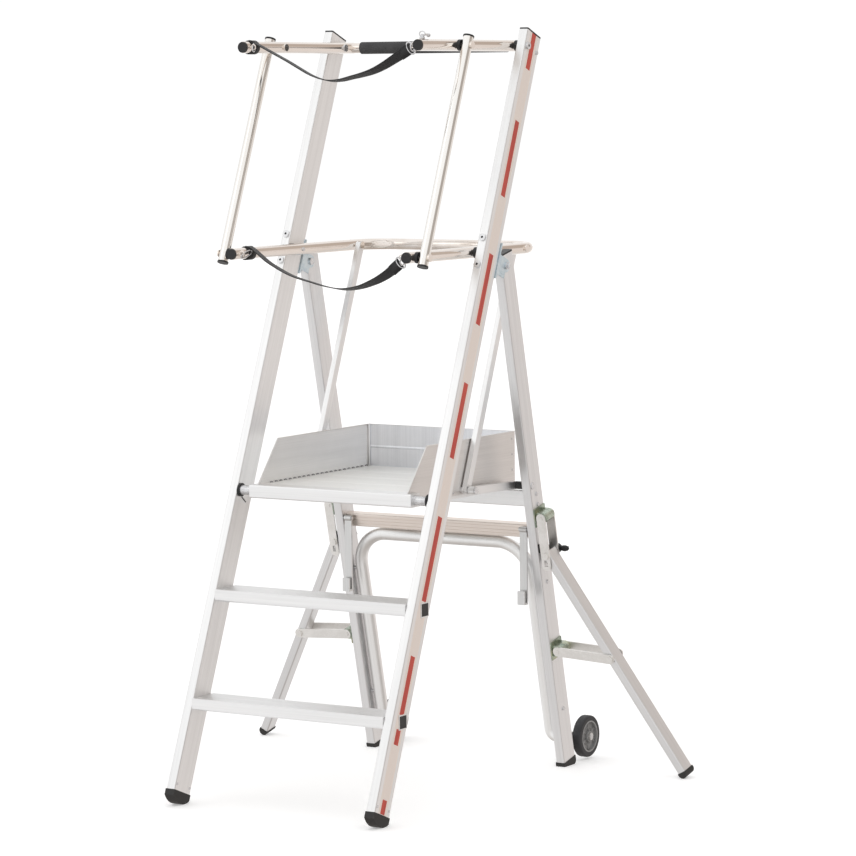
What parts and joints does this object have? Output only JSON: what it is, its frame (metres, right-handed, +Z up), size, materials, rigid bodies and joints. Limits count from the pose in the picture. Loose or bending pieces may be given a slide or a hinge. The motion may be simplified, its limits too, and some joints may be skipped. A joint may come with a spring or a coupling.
{
  "type": "podium step",
  "caption": "Folding podium step: leaning two-step ladder with a railed, toe-boarded deck, hinged rear legs, swing-out outriggers and transport wheels",
  "frame": {"origin": "centre of the bounding box's base, on the floor", "axes": "+X to the climber's right, +Y from the climber to the back, +Z up"},
  "size_m": [1.2644, 1.0764, 1.8412],
  "materials": {
    "mill_aluminium": "mill-finish extrusion",
    "tread_aluminium": "ribbed extrusion",
    "sheet_aluminium": "bright rolled sheet",
    "red_foil": "printed foil with a plain red stripe",
    "black_plastic": "moulded",
    "black_rubber": "moulded",
    "bright_steel": "bright zinc",
    "blue_zinc": "blue passivated zinc",
    "yellow_zinc": "yellow-green chromate",
    "plated_steel": "bright zinc plate",
    "nickel_tube": "polished tube",
    "beige_bar": "ribbed extrusion",
    "webbing": "woven webbing",
    "grey_tyre": "solid rubber",
    "grey_hub": "moulded"
  },
  "bodies": {
    "ladder": {"left_stile": "mill_aluminium", "right_stile": "mill_aluminium", "stile_foils": "red_foil", "lower_step": "tread_aluminium", "upper_step": "tread_aluminium", "step_plugs": "black_plastic", "stile_caps": "black_plastic", "front_feet": "black_rubber", "stile_fasteners": "bright_steel", "deck_tube": "bright_steel", "pivot_bushes": "black_plastic", "rail_bolts": "bright_steel", "hinge_brackets": "blue_zinc", "hinge_pins": "bright_steel"},
    "deck": {"deck_nose": "mill_aluminium", "deck_planks": "tread_aluminium", "side_beams": "mill_aluminium", "left_toe_board": "sheet_aluminium", "right_toe_board": "sheet_aluminium", "back_toe_board": "sheet_aluminium", "link_pins": "bright_steel"},
    "deck_links": {"link_bars": "mill_aluminium"},
    "deck_struts": {"side_struts": "mill_aluminium"},
    "middle_rail": {"mid_rail": "nickel_tube", "mid_rail_caps": "black_plastic", "mid_rail_fittings": "bright_steel", "lower_strap": "webbing"},
    "upper_rail": {"top_rail": "nickel_tube", "grip_sleeve": "black_rubber", "top_rail_caps": "black_plastic", "top_rail_fittings": "bright_steel", "upper_strap": "webbing"},
    "rail_posts": {"posts": "nickel_tube", "post_caps": "black_plastic"},
    "rear_frame": {"rear_legs": "mill_aluminium", "leg_caps": "black_plastic", "rear_feet": "black_rubber", "rest_beam": "mill_aluminium", "crossbar": "beige_bar", "brace_tube": "mill_aluminium", "frame_bolts": "bright_steel", "leg_bushes": "black_plastic", "pivot_blocks": "yellow_zinc", "wheel_brackets": "plated_steel"},
    "left_retaining_hook": {"left_hook": "bright_steel"},
    "left_wheel": {"left_tyre": "grey_tyre", "left_hub": "grey_hub"},
    "left_arm": {"left_outrigger_arm": "plated_steel"},
    "left_outrigger": {"left_outrigger_leg": "mill_aluminium", "left_outrigger_foot": "black_rubber"},
    "left_outrigger_stay": {"left_stay": "plated_steel"},
    "left_wing_knob": {"left_knob": "black_plastic"},
    "right_retaining_hook": {"right_hook": "bright_steel"},
    "right_wheel": {"right_tyre": "grey_tyre", "right_hub": "grey_hub"},
    "right_arm": {"right_outrigger_arm": "plated_steel"},
    "right_outrigger": {"right_outrigger_leg": "mill_aluminium", "right_outrigger_foot": "black_rubber"},
    "right_outrigger_stay": {"right_stay": "plated_steel"},
    "right_wing_knob": {"right_knob": "black_plastic"}
  },
  "joints": [
    {"name": "rear_fold", "type": "hinge", "parent": "ladder", "child": "rear_frame", "pos_m": [0, 0.07801, 1.26954], "axis": [-1, 0, 0], "range_deg": [0, 32.9]},
    {"name": "deck_fold", "type": "hinge", "parent": "ladder", "child": "deck", "pos_m": [0, -0.2392, 0.73], "axis": [1, 0, 0], "range_deg": [0, 60.01]},
    {"name": "mid_rail_fold", "type": "hinge", "parent": "ladder", "child": "middle_rail", "pos_m": [0, -0.00729, 1.304], "axis": [1, 0, 0], "range_deg": [0, 60.01], "deforming": ["lower_strap"]},
    {"name": "top_rail_fold", "type": "hinge", "parent": "ladder", "child": "upper_rail", "pos_m": [0, 0.1919, 1.797], "axis": [1, 0, 0], "range_deg": [0, 60.01]},
    {"name": "post_fold", "type": "hinge", "parent": "upper_rail", "child": "rail_posts", "pos_m": [0, -0.07611, 1.797], "axis": [1, 0, 0], "range_deg": [-60.01, 0]},
    {"name": "link_fold", "type": "hinge", "parent": "deck", "child": "deck_links", "pos_m": [0, 0.0058, 0.73], "axis": [1, 0, 0], "range_deg": [-60.01, 0]},
    {"name": "strut_fold", "type": "hinge", "parent": "deck", "child": "deck_struts", "pos_m": [0, 0.0058, 0.73], "axis": [1, 0, 0], "range_deg": [-146.64, 0]},
    {"name": "left_hook_swing", "type": "hinge", "parent": "rear_frame", "child": "left_retaining_hook", "pos_m": [-0.256, 0.22428, 0.61233], "axis": [1, 0, 0], "range_deg": [0, 13.21]},
    {"name": "left_wheel_spin", "type": "hinge", "parent": "rear_frame", "child": "left_wheel", "pos_m": [-0.285, 0.4852, 0.059], "axis": [1, 0, 0], "continuous": true},
    {"name": "left_outrigger_fold", "type": "hinge", "parent": "rear_frame", "child": "left_arm", "pos_m": [-0.31, 0.23817, 0.648], "axis": [0, 0.9736, 0.2284], "range_deg": [0, 160]},
    {"name": "left_leg_fold", "type": "hinge", "parent": "left_arm", "child": "left_outrigger", "pos_m": [-0.31, 0.26055, 0.55259], "axis": [0, 0.9736, 0.2284], "range_deg": [-189.37, 0]},
    {"name": "left_stay_fold", "type": "hinge", "parent": "rear_frame", "child": "left_outrigger_stay", "pos_m": [-0.31, 0.31809, 0.30725], "axis": [0, 0.9736, 0.2284], "range_deg": [0, 80.08]},
    {"name": "left_knob_turn", "type": "hinge", "parent": "left_arm", "child": "left_wing_knob", "pos_m": [-0.31, 0.28781, 0.55898], "axis": [0, 0.9736, 0.2284], "continuous": true},
    {"name": "right_hook_swing", "type": "hinge", "parent": "rear_frame", "child": "right_retaining_hook", "pos_m": [0.256, 0.22428, 0.61233], "axis": [1, 0, 0], "range_deg": [0, 13.21]},
    {"name": "right_wheel_spin", "type": "hinge", "parent": "rear_frame", "child": "right_wheel", "pos_m": [0.285, 0.4852, 0.059], "axis": [1, 0, 0], "continuous": true},
    {"name": "right_outrigger_fold", "type": "hinge", "parent": "rear_frame", "child": "right_arm", "pos_m": [0.31, 0.23817, 0.648], "axis": [0, -0.9736, -0.2284], "range_deg": [0, 160]},
    {"name": "right_leg_fold", "type": "hinge", "parent": "right_arm", "child": "right_outrigger", "pos_m": [0.31, 0.26055, 0.55259], "axis": [0, -0.9736, -0.2284], "range_deg": [-189.37, 0]},
    {"name": "right_stay_fold", "type": "hinge", "parent": "rear_frame", "child": "right_outrigger_stay", "pos_m": [0.31, 0.31809, 0.30725], "axis": [0, -0.9736, -0.2284], "range_deg": [0, 80.08]},
    {"name": "right_knob_turn", "type": "hinge", "parent": "right_arm", "child": "right_wing_knob", "pos_m": [0.31, 0.28781, 0.55898], "axis": [0, 0.9736, 0.2284], "continuous": true}
  ],
  "couplings": [
    {"joint": "deck_fold", "follows": "rear_fold", "ratio": 1.8235},
    {"joint": "mid_rail_fold", "follows": "rear_fold", "ratio": 1.8235},
    {"joint": "top_rail_fold", "follows": "rear_fold", "ratio": 1.8235},
    {"joint": "post_fold", "follows": "rear_fold", "ratio": -1.8235},
    {"joint": "link_fold", "follows": "rear_fold", "ratio": -1.8235},
    {"joint": "strut_fold", "follows": "rear_fold", "ratio": -4.4562},
    {"joint": "left_hook_swing", "follows": "rear_fold", "ratio": 0.40117},
    {"joint": "left_leg_fold", "follows": "left_outrigger_fold", "ratio": -1.1835},
    {"joint": "left_stay_fold", "follows": "left_outrigger_fold", "ratio": 0.50046},
    {"joint": "right_hook_swing", "follows": "rear_fold", "ratio": 0.40117},
    {"joint": "right_leg_fold", "follows": "right_outrigger_fold", "ratio": -1.1835},
    {"joint": "right_stay_fold", "follows": "right_outrigger_fold", "ratio": 0.50046}
  ]
}
